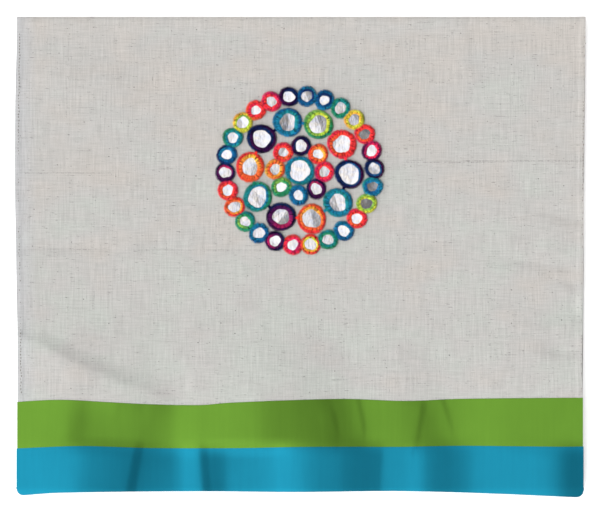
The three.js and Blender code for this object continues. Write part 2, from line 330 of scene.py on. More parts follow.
def dyedSatin(name, shade, shadeAtEdge):
    # polyester satin, piece-dyed and pressed: smooth floats, bright or deep as the cloth turns
    f = satinFinish
    material, tree = newMaterial(name)
    uneven = unevenness(tree, satinPatterns)
    both = {0: uneven["streaks"], 1: uneven["clouds"]}
    both = addNode(tree, "Math", both, operation="ADD")
    light = {"Value": both, "From Min": 0.7, "From Max": 1.3}
    light |= {"To Min": 1 - f["shadeDepth"], "To Max": 1 + f["shadeDepth"]}
    light = addNode(tree, "MapRange", light)
    shaded = {0: 1.0, 1: colour(shade), 2: light}
    tone = addNode(tree, "MixRGB", shaded, blend_type="MULTIPLY")
    look = {"Base Color": tone, "Roughness": f["roughness"], "Metallic": f["metallic"]}
    look |= {"Specular IOR Level": f["specular"], "Specular Tint": colour(shadeAtEdge)}
    shader = addNode(tree, "BsdfPrincipled", look)
    addNode(tree, "OutputMaterial", {"Surface": shader})
    return material


glassFinish = {
    "cool": "#B2B4BE",
    "warm": "#BDB8B4",
    "waviness": 0.4,
    "waveMm": 0.2,
    "clearest": 0.1,
    "dullest": 0.22,
}
glassPatterns = table("name x y z detail", ("waves", 2.4, 6, 1000, 2.0), ("clouds", 6, 4, 1000, 2.0))


def silveredGlass():
    # thin blown glass, silvered behind and cut by hand: bright, slightly wavy, dulled in streaks
    f = glassFinish
    material, tree = newMaterial("silveredGlass")
    uneven = unevenness(tree, glassPatterns)
    share = {"Value": uneven["clouds"], "From Min": 0.35, "From Max": 0.65}
    share = addNode(tree, "MapRange", share)
    tone = addNode(tree, "MixRGB", {0: share, 1: colour(f["cool"]), 2: colour(f["warm"])})
    both = {0: uneven["waves"], 1: uneven["clouds"]}
    height = addNode(tree, "Math", both, operation="ADD")
    relief = {"Height": height, "Strength": f["waviness"], "Distance": f["waveMm"] * mm}
    dulled = {"Value": uneven["waves"], "From Min": 0.3, "From Max": 0.7}
    dulled |= {"To Min": f["clearest"], "To Max": f["dullest"]}
    look = {"Base Color": tone, "Normal": addNode(tree, "Bump", relief), "Metallic": 1.0}
    look["Roughness"] = addNode(tree, "MapRange", dulled)
    shader = addNode(tree, "BsdfPrincipled", look)
    addNode(tree, "OutputMaterial", {"Surface": shader})
    return material


threadFinish = {
    "darkest": 0.8,
    "palest": 1.08,
    "relief": 0.3,
    "reliefMm": 0.1,
    "roughness": 0.6,
    "specular": 0.07,  # faint, as the light goes in between the fibres
}
threadPatterns = table("name x y z detail", ("fibres", 0.5, 0.5, 0.5, 2.0))


def spaceDyedThread():
    # stranded cotton, dyed in changing colours along its length: a soft sheen on each strand
    f = threadFinish
    material, tree = newMaterial("spaceDyedThread")
    fibres = unevenness(tree, threadPatterns)["fibres"]
    dye = addNode(tree, "Attribute", attribute_name="threadColour").outputs["Color"]
    shade = {"Value": fibres, "From Min": 0.25, "From Max": 0.75}
    shade |= {"To Min": f["darkest"], "To Max": f["palest"]}
    shade = addNode(tree, "MapRange", shade)
    tone = addNode(tree, "MixRGB", {0: 1.0, 1: dye, 2: shade}, blend_type="MULTIPLY")
    relief = {"Height": fibres, "Strength": f["relief"], "Distance": f["reliefMm"] * mm}
    look = {"Base Color": tone, "Normal": addNode(tree, "Bump", relief)}
    look |= {"Roughness": f["roughness"], "Specular IOR Level": f["specular"]}
    shader = addNode(tree, "BsdfPrincipled", look)
    addNode(tree, "OutputMaterial", {"Surface": shader})
    return material


sewingFinish = {"dark": "#625E5A", "pale": "#827E78", "roughness": 0.8}
sewingPatterns = table("name x y z detail", ("fibres", 0.4, 0.4, 0.4, 2.0))


def sewingThread():
    # polyester sewing thread, spun fine: darker than the linen, dull
    f = sewingFinish
    material, tree = newMaterial("sewingThread")
    share = {"Value": unevenness(tree, sewingPatterns)["fibres"], "From Min": 0.3, "From Max": 0.7}
    share = addNode(tree, "MapRange", share)
    tone = addNode(tree, "MixRGB", {0: share, 1: colour(f["dark"]), 2: colour(f["pale"])})
    look = {"Base Color": tone, "Roughness": f["roughness"]}
    shader = addNode(tree, "BsdfPrincipled", look)
    addNode(tree, "OutputMaterial", {"Surface": shader})
    return material


linenMaterial = washedLinen()
greenMaterial = dyedSatin("greenSatin", satinFinish["green"], satinFinish["greenAtEdge"])
blueMaterial = dyedSatin("blueSatin", satinFinish["blue"], satinFinish["blueAtEdge"])
mirrorMaterial = silveredGlass()
threadMaterial = spaceDyedThread()
sewingMaterial = sewingThread()
print("materials made")


# The runner's own sizes, the same as its solids have

runner = {
    "length": 1372,
    "layers": 4,
    "linenThickness": 1.2,
    "bandThickness": 1.4,
    "layerGap": 0.5,
    "cornerRadius": 5.5,
    "frontFoldInset": 8,
    "rearFoldInset": 2.5,
    "hiddenEndInset": 11,
}
backFold = runner["length"] / runner["layers"] / 2
layerPitch = runner["linenThickness"] + runner["layerGap"]
topBase = (runner["layers"] - 1) * layerPitch
topFace = topBase + runner["linenThickness"]

sideEdges = table(
    "y left right",
    (-171.5, -202.6, 202.1),
    (-137, -202.3, 202.0),
    (-102, -201.7, 201.3),
    (-59, -201.9, 201.3),
    (62, -203.6, 202.4),
    (171.5, -202.4, 203.6),
)
turnEdges = table(
    "turn left right", (1, -202.4, 203.6), (2, -201.2, 200.9), (3, -202.0, 202.3), (4, -200.8, 201.2)
)
linenSeam = table(
    "x y",
    (-203, -103.2),
    (-171, -101.7),
    (-138, -103.3),
    (-107, -104.9),
    (-72, -105.5),
    (-50, -103.8),
    (0, -101.8),
    (35, -101.2),
    (76, -102.6),
    (114, -101.1),
    (203, -100.2),
)
bandSeam = table(
    "x y",
    (-203, -136.4),
    (-158, -134.8),
    (-108, -136.1),
    (-50, -136.0),
    (0, -135.3),
    (72, -135.3),
    (118, -134.6),
    (185, -135.2),
    (203, -134.9),
)
nearHem = table(
    "x y",
    (-203, -170.2),
    (-172, -167.9),
    (-72, -166.9),
    (-7, -167.4),
    (71, -166.8),
    (142, -168.7),
    (203, -171.5),
)

# How high the cloth waves across each band, at its crests, troughs and steeper places, and how far
# the waves lean sideways per mm towards the back fold

greenWaves = table(
    "x rise lean",
    (-203, 2.0, 0),
    (-168, 3.6, 0.1),
    (-150, 3.0, 0.1),
    (-121, 2.4, 0),
    (-93, 1.8, 0),
    (-71, 3.0, 0),
    (-32, 4.3, 0),
    (-7, 3.7, -0.1),
    (15, 2.5, -0.2),
    (28, 1.4, -0.2),
    (44, 0.5, -0.2),
    (75, 0.8, -0.1),
    (107, 0.0, -0.15),
    (143, 1.4, 0),
    (203, 3.4, 0),
)
blueWaves = table(
    "x rise lean",
    (-203, 1.5, 0),
    (-164, 4.8, 0.1),
    (-149, 4.9, 0.15),
    (-122, 3.4, 0.18),
    (-114, 2.1, 0.18),
    (-93, 0.7, 0.05),
    (-84, 0.6, 0),
    (-72, 1.4, -0.08),
    (-64, 0.7, -0.08),
    (-50, 0.0, 0),
    (-21, 0.9, 0),
    (-7, 2.6, 0),
    (5, 3.2, 0.05),
    (20, 3.0, 0.05),
    (33, 2.5, 0.05),
    (57, 0.8, 0.05),
    (62, 0.75, 0),
    (75, 1.1, 0),
    (89, 1.7, 0),
    (113, 0.7, 0),
    (126, 0.7, 0),
    (157, 2.4, 0),
    (183, 3.4, 0),
    (203, 2.0, 0),
)
waveShape = {
    "greenMiddle": -119,
    "blueMiddle": -151,
    "seamBlend": 16,
    "start": -26,  # the linen rises from here to its seam
    "full": -104,
    "droop": 1.2,  # the near edge hangs down
    "droopStart": -164,
    "droopRun": 8,
    "medallionEase": 8,  # creases run out towards the embroidery
    "foldEase": (3, 16),  # and within these distances from the back fold
}

# Creases: their height along a line, which falls off steeply on the side away from the light and softly
# on the lit side, each over so many mm; a negative height is a groove


def crease(steep, soft, *line):
    return {"steep": steep, "soft": soft, "line": table("x y height", *line)}


creases = {
    "diagonal": crease(
        11,
        20,
        (-203, -57, 0.6),
        (-188, -60.5, 2.0),
        (-158, -76.5, 2.4),
        (-129, -88, 2.1),
        (-108, -95.5, 1.2),
        (-90, -101, 0),
    ),
    "storageLeft": crease(5, 9, (-203, 5.6, -0.9), (-150, 5.6, -0.6), (-120, 5.3, -0.2), (-30, 5, -0.2)),
    "storageRight": crease(
        4, 7, (34, 4.5, -0.2), (71, 4.5, -0.4), (88, 8.7, -0.7), (114, 12.3, -0.4), (134, 15, 0)
    ),
    "right": crease(
        4, 8, (128, -3, 0), (143, -3.4, -0.5), (165, -5, -0.8), (191, -9.5, -0.6), (201, -10, 0)
    ),
    "rightHigher": crease(6, 9, (160, 34, 0), (182, 29, -0.9), (203, 24, -0.8)),
    "rightEdge": crease(4, 6, (184, -18, 0), (194, -20.5, -0.8), (203, -22, -0.4)),
    "rightLower": crease(6, 9, (150, -49, 0), (180, -45, -0.8), (196, -42, -1.1), (203, -44, -0.5)),
    "rightLowest": crease(6, 8, (168, -66, 0), (182, -68, -1.2), (198, -69, -1.2), (203, -68, -0.6)),
    "upperLeft": crease(18, 24, (-190, 131, 0), (-165, 129, 1.1), (-140, 127, 1.1), (-105, 124, 0)),
    "upperRight": crease(7, 9, (117, 171, 0.5), (118, 150, 0.5), (119, 115, 0)),
    "besideThread": crease(7, 8, (160, 67, 0), (182, 68, 0.5), (203, 69, 0.5)),
    "pleat1": crease(4, 7, (19, -101, 0), (23, -115, 0.16), (28, -136, 0)),
    "pleat2": crease(4, 7, (40, -101, 0.16), (44, -120, 0.16), (44, -136, 0)),
    "pleat3": crease(4, 7, (88, -101, 0), (86, -110, 0.16), (81, -136, 0.1)),
    "pleat4": crease(4, 7, (100, -101, 0.14), (104, -112, 0.14), (110, -136, 0)),
}
steepPower = 1.6  # how sharply the steep side leaves the crease

# The embroidery's place, round which the cloth lies flat
medallion = {"x": -0.4, "y": 61.8, "flatRadius": 66}


def creaseHeight(x, y):
    height = np.zeros_like(x)
    for c in creases.values():
        for a, b in zip(c["line"], c["line"][1:]):
            alongX = b["x"] - a["x"]
            alongY = b["y"] - a["y"]
            offX = x - a["x"]
            offY = y - a["y"]
            share = np.clip((offX * alongX + offY * alongY) / (alongX**2 + alongY**2), 0, 1)
            away = np.hypot(offX - share * alongX, offY - share * alongY)
            top = blend(a["height"], b["height"], share)
            steep = (offY * alongX > offX * alongY) == (top > 0)
            steepFall = np.clip(1 - away / c["steep"], 0, 1) ** steepPower
            found = top * np.where(steep, steepFall, bump(away, c["soft"]))
            height = np.where(np.abs(found) > np.abs(height), found, height)
    return height


def waveRise(waves, middle, x, y):
    leaned = x - follow(waves, "x", "lean", x) * (y - middle)
    return follow(waves, "x", "rise", leaned)


def lift(x, y):
    s = waveShape
    fromMedallion = np.hypot(x - medallion["x"], y - medallion["y"])
    flat, ease = medallion["flatRadius"], s["medallionEase"]
    loose = smoothstep(fromMedallion, flat - ease, flat + ease)
    awayFromFold = smoothstep(backFold - y, *s["foldEase"])
    belowSeam = follow(bandSeam, "x", "y", x) - y
    waves = blend(
        waveRise(greenWaves, s["greenMiddle"], x, y),
        waveRise(blueWaves, s["blueMiddle"], x, y),
        smoothstep(belowSeam, -s["seamBlend"] / 2, s["seamBlend"] / 2),
    )
    height = creaseHeight(x, y) * loose * awayFromFold
    height += waves * smoothstep(-y, -s["start"], -s["full"])
    return height - s["droop"] * smoothstep(-y, -s["droopStart"], s["droopRun"] - s["droopStart"])


# Cloth: a grid of points in the middle of it, with two faces and an edge all round

clothEdge = {
    "steps": 3,
    "crispAngle": 40,  # in degrees: where two faces meet more sharply, the edge between them shows
}


def clothShell(name, middle, over, under, bulge):  # over and under: from the middle to either face
    rows, columns, _ = middle.shape
    alongRows = np.gradient(middle, axis=0)
    alongColumns = np.gradient(middle, axis=1)
    alongRows /= np.linalg.norm(alongRows, axis=2, keepdims=True)
    alongColumns /= np.linalg.norm(alongColumns, axis=2, keepdims=True)
    normals = np.cross(alongColumns, alongRows)
    normals /= np.linalg.norm(normals, axis=2, keepdims=True)
    outward = np.zeros_like(middle)
    outward[0] -= alongRows[0]
    outward[-1] += alongRows[-1]
    outward[:, 0] -= alongColumns[:, 0]
    outward[:, -1] += alongColumns[:, -1]

    grid = np.arange(rows * columns).reshape(rows, columns)
    loop = np.concatenate([grid[0, :-1], grid[:-1, -1], grid[-1, :0:-1], grid[:0:-1, 0]])
    flatMiddle = middle.reshape(-1, 3)
    flatNormal = normals.reshape(-1, 3)
    flatOver = np.broadcast_to(over, (rows, columns)).reshape(-1, 1)
    flatUnder = np.broadcast_to(under, (rows, columns)).reshape(-1, 1)
    points = [flatMiddle + flatNormal * flatOver, flatMiddle - flatNormal * flatUnder]
    edgeOut = outward.reshape(-1, 3)[loop]
    edgeOut /= np.linalg.norm(edgeOut, axis=1, keepdims=True)
    half = (flatOver[loop] + flatUnder[loop]) / 2
    centre = flatMiddle[loop] + flatNormal[loop] * (flatOver[loop] - flatUnder[loop]) / 2
    loops = [loop]
    for step in range(clothEdge["steps"]):
        angle = math.pi * (0.5 - (step + 1) / (clothEdge["steps"] + 1))
        outwards = edgeOut * math.cos(angle) * bulge
        points.append(centre + half * (outwards + flatNormal[loop] * math.sin(angle)))
        loops.append(2 * rows * columns + step * len(loop) + np.arange(len(loop)))
    loops.append(loop + rows * columns)

    upper = np.stack([grid[:-1, :-1], grid[:-1, 1:], grid[1:, 1:], grid[1:, :-1]], axis=2)
    upper = upper.reshape(-1, 4)
    faces = [upper, upper[:, ::-1] + rows * columns]
    for high, low in zip(loops, loops[1:]):
        faces.append(np.stack([high, low, np.roll(low, -1), np.roll(high, -1)], axis=1))
    piece = newPiece(name, np.concatenate(points), np.concatenate(faces).tolist())
    piece.data.set_sharp_from_angle(angle=math.radians(clothEdge["crispAngle"]))
    return piece


# Linen panel: one strip folded back and forth in four layers

linenSheet = {
    "columnStep": 2.1,
    "rowStep": 2.5,
    "lowerRows": 12,
    "turnSteps": 8,
    "hemColumns": (0, 0.4, 1.2, 2.2, 3.0, 3.6, 4.6),  # in mm from the edge
    "hemFall": (2.7, 3.6),  # the turned hem ends between these
    "hemRise": 0.22,
    "foldSwell": 0.35,  # the back fold is fuller than the layers lie
    "foldSwellRun": 14,
    "edgeWander": 0.3,
    "seamGap": 0.01,
    "bulge": 0.08,
}


def linenShares(width):
    hem = np.array(linenSheet["hemColumns"])
    flat = width - 2 * hem[-1]
    inner = np.linspace(hem[-1], width - hem[-1], int(flat / linenSheet["columnStep"]) + 1)
    return np.concatenate([hem[:-1], inner, width - hem[-2::-1]]) / width


wanderWaves = ((41, 0.5), (23, 0.3), (11, 0.2))  # how long each is and its share


def wander(at, seed):  # a slow uneven line, from -1 to 1
    phases = np.random.default_rng(seed).uniform(0, 2 * math.pi, len(wanderWaves))
    return sum(np.sin(at / length + phase) * share for (length, share), phase in zip(wanderWaves, phases))


def linenMiddle():
    s = linenSheet
    inset = runner["linenThickness"] / 2
    bulge = inset * s["bulge"]
    shares = linenShares(2 * backFold)
    radius = layerPitch / 2
    reach = radius + inset
    centres = {
        1: backFold - reach - s["foldSwell"],
        2: -backFold + runner["frontFoldInset"] + reach,
        3: backFold - runner["rearFoldInset"] - reach,
        4: -backFold + runner["hiddenEndInset"] + bulge,
    }
    edges = {row["turn"]: row for row in turnEdges}
    rows = []

    # the top layer, from the seam to the back fold
    left = follow(sideEdges, "y", "left", linenSeam[0]["y"]) + bulge
    right = follow(sideEdges, "y", "right", linenSeam[0]["y"]) - bulge
    seamY = follow(linenSeam, "x", "y", blend(left, right, shares)) + s["seamGap"] + bulge
    for share in np.linspace(0, 1, int(2 * backFold / s["rowStep"])):
        y = blend(seamY, centres[1], share)
        left = follow(sideEdges, "y", "left", y) + bulge + s["edgeWander"] * wander(y, 1)
        right = follow(sideEdges, "y", "right", y) - bulge + s["edgeWander"] * wander(y, 2)
        x = blend(left, right, shares)
        swell = 2 * s["foldSwell"] * smoothstep(y, backFold - s["foldSwellRun"], centres[1])
        rows.append(np.stack([x, y, topBase + inset + lift(x, y) + swell], axis=1))

    # each turn, and the layer under it
    for turn in range(1, runner["layers"]):
        e = edges[turn]
        x = blend(e["left"] + bulge, e["right"] - bulge, shares)
        side = 1 if turn % 2 == 1 else -1
        swell = s["foldSwell"] if turn == 1 else 0
        level = topBase + inset - (turn - 0.5) * layerPitch + swell
        for step in range(s["turnSteps"] + 1):
            angle = math.pi * step / s["turnSteps"]
            if turn == 1 and step == 0:
                continue  # the top layer ends there already
            y = centres[turn] + side * (radius + swell) * math.sin(angle)
            z = level + (radius + swell) * math.cos(angle)
            rows.append(np.stack([x, np.full_like(x, y), np.full_like(x, z)], axis=1))
        after = edges[turn + 1]
        lastLayer = turn == runner["layers"] - 1
        for share in np.linspace(0, 1, s["lowerRows"] + 2)[1 : None if lastLayer else -1]:
            y = blend(centres[turn], centres[turn + 1], share)
            loose = s["edgeWander"] * math.sin(math.pi * share)
            left = blend(e["left"], after["left"], share) + bulge + loose * wander(y, turn * 2 + 3)
            right = blend(e["right"], after["right"], share) - bulge + loose * wander(y, turn * 2 + 4)
            x = blend(left, right, shares)
            z = topBase + inset - turn * layerPitch
            rows.append(np.stack([x, np.full_like(x, y), np.full_like(x, z)], axis=1))
    return np.stack(rows), shares


def makeLinen():
    s = linenSheet
    middle, shares = linenMiddle()
    fromEdge = np.minimum(shares, 1 - shares) * 2 * backFold
    hem = s["hemRise"] * (1 - smoothstep(fromEdge, *s["hemFall"]))
    onTop = smoothstep(middle[:, 0, 2], topBase - layerPitch, topBase)[:, None]
    half = runner["linenThickness"] / 2
    linen = clothShell("linenPanel", middle, half + hem * onTop, half, s["bulge"])
    linen.data.materials.append(linenMaterial)
    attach(linen, "root")
    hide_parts("linen_panel")
    return linen


linen = makeLinen()
print("linen made,", len(linen.data.polygons), "faces")


# Bands: two satin strips across the near end

bandSheet = {"columns": 300, "cornerSteps": 8, "rows": 26, "seamGap": 0.01, "bulge": 0.03}


def bandShares(width):
    s = bandSheet
    corner = runner["cornerRadius"] / width
    turn = np.arange(s["cornerSteps"]) / s["cornerSteps"]
    first = corner * (1 - np.cos(turn * math.pi / 2))
    inner = np.linspace(corner, 1 - corner, s["columns"])
    return np.concatenate([first, inner, 1 - first[::-1]])


def makeBand(name, node, farLine, nearLine, rounded, material):
    s = bandSheet
    half = runner["bandThickness"] / 2
    bulge = half * s["bulge"]
    midY = (follow(farLine, "x", "y", 0.0) + follow(nearLine, "x", "y", 0.0)) / 2
    left = float(follow(sideEdges, "y", "left", midY)) + bulge
    right = float(follow(sideEdges, "y", "right", midY)) - bulge
    x = blend(left, right, bandShares(right - left))
    radius = runner["cornerRadius"] - bulge
    inCorner = np.maximum(radius - np.minimum(x - left, right - x), 0)
    cut = radius - np.sqrt(np.maximum(radius**2 - inCorner**2, 0))
    far = follow(farLine, "x", "y", x) - s["seamGap"] - bulge
    near = follow(nearLine, "x", "y", x) + (cut if rounded else s["seamGap"]) + bulge
    rows = []
    for share in np.linspace(0, 1, s["rows"]):
        y = blend(near, far, share)
        rows.append(np.stack([x, y, topBase + half + lift(x, y)], axis=1))
    band = clothShell(name, np.stack(rows), half, half, s["bulge"])
    band.data.materials.append(material)
    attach(band, "root")
    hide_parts(node)
    return band


greenBand = makeBand("greenBand", "green_band", linenSeam, bandSeam, False, greenMaterial)
blueBand = makeBand("blueBand", "blue_band", bandSeam, nearHem, True, blueMaterial)
print("bands made")


# Hem stitches along the two long edges of the top layer

hemStitches = {
    "pitch": 2.2,
    "length": 1.4,
    "width": 0.7,
    "height": 0.7,  # as a share of the width
    "leftInset": 2.4,
    "rightInset": 0.8,
    "start": -96,
    "fromFold": 3,
    "wander": 0.2,
    "uneven": 0.25,
    "sunk": 0.9,  # by so many half widths, and raised from there by up to the next share
    "raised": 0.75,
    "sides": 6,
    "rings": ((-0.5, 0.3), (-0.3, 1), (0.3, 1), (0.5, 0.3)),  # places along a stitch, and its width there
}
# how far the stitches stand clear of the cloth, from 0 where they are sunk into it
hemShown = table(
    "y left right",
    (-100, 0.9, 0.2),
    (-60, 0.9, 0.3),
    (-40, 0.2, 0.2),
    (0, 0.6, 0.2),
    (30, 0.2, 0.2),
    (60, 0.4, 0.8),
    (90, 0.9, 0.8),
    (125, 1, 0.3),
    (171, 0.8, 0.3),
)


def makeHemStitches():
    s = hemStitches
    rng = np.random.default_rng(21)
    points = []
    faces = []
    sides = s["sides"]
    tube = tubeFaces(len(s["rings"]), sides)
    for edge, inset in (("left", s["leftInset"]), ("right", -s["rightInset"])):
        for y in np.arange(s["start"], backFold - s["fromFold"], s["pitch"]):
            shown = np.clip(float(follow(hemShown, "y", edge, y)) + rng.normal(0, s["uneven"]), 0, 1)
            x = float(follow(sideEdges, "y", edge, y)) + inset + rng.normal(0, s["wander"])
            y += rng.normal(0, s["wander"])
            z = topFace + float(lift(np.array([x]), np.array([y]))[0]) + linenSheet["hemRise"]
            z -= (s["sunk"] - s["raised"] * shown) * s["width"] / 2
            start = len(points)
            for along, size in s["rings"]:
                for side in range(sides):
                    angle = 2 * math.pi * side / sides
                    across = size * s["width"] / 2 * math.cos(angle)
                    up = size * s["width"] / 2 * math.sin(angle) * s["height"]
                    points.append((x + across, y + along * s["length"], z + up))
            faces += [tuple(start + i for i in reversed(face)) for face in tube]
    piece = newPiece("hemStitches", points, faces)
    piece.data.materials.append(sewingMaterial)
    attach(piece, "root")


makeHemStitches()
print("hem stitches made")


# Embroidery: round mirrors, and the stitched rings that hold them

mirrorSizes = {
    "small": {"mirror": 5.0, "window": 3.9, "crown": 5.5, "outer": 7.3, "stitches": 26},
    "large": {"mirror": 7.75, "window": 6.7, "crown": 8.5, "outer": 10.5, "stitches": 40},
}
trimBase = topFace + 0.3  # the level that the stitches' heights are counted from
# each ring's thread as its sewer took it up: one word for the ring, one for the row over the glass
circles = {
    "centre": {
        "count": 1,
        "radius": 0,
        "start": 0,
        "size": "large",
        "tied": False,
        "outer": "teal",
        "inner": "teal",
    },
    "inner": {
        "count": 8,
        "radius": 17.6,
        "start": 87,
        "size": "small",
        "tied": False,
        "outer": "indigo scarlet crimson indigo blue green orange red",
        "inner": "indigo orange red plum blue green orange scarlet",
    },
    "middle": {
        "count": 10,
        "radius": 35.5,
        "start": -4,
        "size": "large",
        "tied": True,
        "outer": "indigo teal scarlet indigo turquoise scarlet indigo blue green red",
        "inner": "navy teal orange plum teal orange indigo teal lime scarlet",
    },
    "rim": {
        "count": 26,
        "radius": 53.2,
        "start": 98.4,
        "size": "small",
        "tied": False,
        "outer": "indigo blue blue turquoise yellow red plum indigo teal lime red blue turquoise "
        "scarlet red indigo blue turquoise scarlet red indigo navy turquoise yellow scarlet crimson",
        "inner": "indigo navy navy turquoise yellow scarlet crimson navy blue lime scarlet blue "
        "turquoise yellow crimson plum blue green orange scarlet plum blue teal lime red red",
    },
}

# The thread's dye goes round through these, and a ring drifts a little along them as it is sewn
dyes = {
    "indigo": "#100034",
    "navy": "#12407A",
    "blue": "#1C74A6",
    "teal": "#228AA4",
    "turquoise": "#22907A",
    "green": "#369A60",
    "lime": "#B8D64A",
    "yellow": "#EEDA4A",
    "orange": "#FA803E",
    "scarlet": "#FA4438",
    "red": "#FA3C4A",
    "crimson": "#EC2C60",
    "plum": "#5E1C5C",
}


def places(circle):
    c = circles[circle]
    found = []
    for i in range(c["count"]):
        angle = math.radians(c["start"] - i * 360 / c["count"])
        x = medallion["x"] + c["radius"] * math.cos(angle)
        y = medallion["y"] + c["radius"] * math.sin(angle)
        found.append((x, y, angle))
    return found


mirrorGlass = {
    "thickness": 0.45,
    "play": 0.1,  # round each mirror, inside its stitches
    "aboveCloth": 0.05,
    "sides": 20,
    "lean": -0.4,  # in degrees, as are the tilts
    "tilt": 0.7,
    "facetTilt": 2.6,
    "flattestFacet": 0.3,
    "facetReach": 0.62,  # the facets meet within this share of the window
    "greyTilt": 3.2,
    # mirrors that lean away from the light
    "grey": {"centre": (), "inner": (), "middle": (8,), "rim": (2, 6, 8, 9, 10)},
}


def makeMirror(name, node, x, y, size, grey, rng):
    g = mirrorGlass
    radius = size["mirror"] - g["play"]
    shape = bmesh.new()
    outline = []
    for i in range(g["sides"]):
        angle = 2 * math.pi * i / g["sides"]
        outline.append(shape.verts.new((radius * math.cos(angle), radius * math.sin(angle), 0)))
    shape.faces.new(outline)

    # a round plate, bent along a few lines and leaning a little
    bends = []
    for _ in range(rng.integers(1, 3) + (size is mirrorSizes["large"])):
        direction = rng.uniform(0, 2 * math.pi)
        normal = Vector((math.cos(direction), math.sin(direction), 0))
        offset = rng.uniform(0.0, g["facetReach"]) * size["window"]
        steepness = rng.uniform(g["flattestFacet"], 1) * g["facetTilt"]
        bends.append((normal, offset, math.tan(math.radians(steepness * rng.choice((-1, 1))))))
        whole = shape.verts[:] + shape.edges[:] + shape.faces[:]
        bmesh.ops.bisect_plane(shape, geom=whole, plane_co=normal * offset, plane_no=normal)
    away = g["greyTilt"] if grey else 0
    tiltX = math.tan(math.radians(away - rng.normal(-g["lean"], g["tilt"])))
    tiltY = math.tan(math.radians(rng.normal(0, g["tilt"])))
    for v in shape.verts:
        flat = Vector((v.co.x, v.co.y, 0))
        v.co.z = -tiltX * flat.x + tiltY * flat.y
        for normal, offset, slope in bends:
            v.co.z += slope * max(flat.dot(normal) - offset, 0)
    low = min(v.co.z for v in shape.verts)

    # its back, and the rim between
    bmesh.ops.recalc_face_normals(shape, faces=shape.faces[:])
    if shape.faces[0].normal.z < 0:
        bmesh.ops.reverse_faces(shape, faces=shape.faces[:])
    copies = bmesh.ops.duplicate(shape, geom=shape.verts[:] + shape.edges[:] + shape.faces[:])
    under = [f for f in copies["geom"] if isinstance(f, bmesh.types.BMFace)]
    bmesh.ops.reverse_faces(shape, faces=under)
    for v in {v for f in under for v in f.verts}:
        v.co.z -= g["thickness"]
    bmesh.ops.bridge_loops(shape, edges=[e for e in shape.edges if e.is_boundary])
    base = topFace + g["aboveCloth"] + g["thickness"] - low
    for v in shape.verts:
        v.co = Vector((v.co.x + x, v.co.y + y, v.co.z + base)) * mm
    mesh = bpy.data.meshes.new(name)
    shape.to_mesh(mesh)
    shape.free()
    piece = bpy.data.objects.new(name, mesh)
    bpy.context.scene.collection.objects.link(piece)
    mesh.materials.append(mirrorMaterial)
    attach(piece, "root")
    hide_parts(node)


def makeMirrors():
    rng = np.random.default_rng(7)
    for circle, c in circles.items():
        size = mirrorSizes[c["size"]]
        for i, (x, y, _) in enumerate(places(circle)):
            number = f"_{i + 1:02d}" if c["count"] > 1 else ""
            grey = i + 1 in mirrorGlass["grey"][circle]
            name, node = "glass_" + circle + number, "mirror_" + circle + number
            makeMirror(name, node, x, y, size, grey, rng)


makeMirrors()
print("mirrors made")

stitching = {
    "strand": 0.25,
    "sides": 6,
    "taper": 0.6,
    "slant": 0.5,
    "openness": 0.6,  # how far a stitch's two strands spread, as a share of its pitch
    "jitter": 0.12,
    "outJitter": 0.1,
    "upJitter": 0.05,
    "uneven": 0.035,
    "windowUneven": 0.12,
    "roundest": 0.3,  # a ring's window is oval by this share of windowUneven, up to all of it
    "windowRange": {"small": (0.86, 1.06), "large": (0.84, 1.1)},
    "drift": 0.5,
    "shadeJitter": 0.2,
    "underPaintedShade": 0.14,  # painted shade: the thread beneath is coloured this share of its dye, for the shadow of the stitches
}
# Where the thread runs in a ring: so far out from one of its sizes and so high; spread is how far a
# stitch's strands have parted. The first row lies over the glass, the second goes down into the cloth
stitchRows = (
    table(
        "size out up spread",
        ("window", 0, 0.62, 1.0),
        ("window", 0.3, 1.15, 1.0),
        ("crown", -0.4, 1.55, 0.6),
        ("crown", 0.1, 1.3, 0.2),
    ),
    table(
        "size out up spread",
        ("crown", -0.15, 1.3, 0.2),
        ("crown", 0.35, 1.5, 0.7),
        ("outer", -0.5, 1.05, 1.0),
        ("outer", -0.1, 0.4, 0.9),
        ("outer", -0.1, -0.28, 0.8),
    ),
)
# The thread underneath, coloured dark between the stitches as painted shade: share is 0 at the glass and
# 1 outside
underThread = table(
    "size out up share",
    ("window", 0.25, 0.3, 0),
    ("window", 0.35, 0.75, 0.1),
    ("crown", 0, 1.05, 0.6),
    ("outer", -0.75, 0.6, 1),
    ("outer", -0.65, -0.28, 1),
)


def strand(path, width, across=(0, 1, 0)):
    # one strand of a stitch, along a path of (out, along, up) points
    sides = stitching["sides"]
    path = np.array(path, float)
    run = np.gradient(path, axis=0)
    run /= np.linalg.norm(run, axis=1, keepdims=True)
    rise = np.cross(run, np.array(across))
    rise /= np.linalg.norm(rise, axis=1, keepdims=True)
    sideways = np.cross(rise, run)
    taper = np.full(len(path), width)
    taper[[0, -1]] *= stitching["taper"]
    rings = []
    for side in range(sides):
        angle = 2 * math.pi * side / sides
        offset = sideways * math.cos(angle) + rise * math.sin(angle)
        rings.append(path + offset * taper[:, None])
    return np.stack(rings, axis=1)


def dyeAt(position):
    colours = np.array([colour(code)[:3] for code in dyes.values()])
    position = position % len(colours)
    first = int(position)
    return blend(colours[first], colours[(first + 1) % len(colours)], position - first)


class ThreadWork:  # gathers strands until they are made into one piece
    def __init__(self):
        self.points = []
        self.faces = []
        self.colours = []
        self.count = 0

    def add(self, points, faces, tone):
        self.points.append(points)
        self.faces.extend([tuple(i + self.count for i in face) for face in faces])
        self.colours.append(np.broadcast_to((*tone, 1), (len(points), 4)))
        self.count += len(points)

    def piece(self, name):
        made = newPiece(name, np.concatenate(self.points), self.faces)
        attribute = made.data.color_attributes.new("threadColour", "FLOAT_COLOR", "POINT")
        attribute.data.foreach_set("color", np.concatenate(self.colours).ravel().astype(np.float32))
        made.data.materials.append(threadMaterial)
        return made


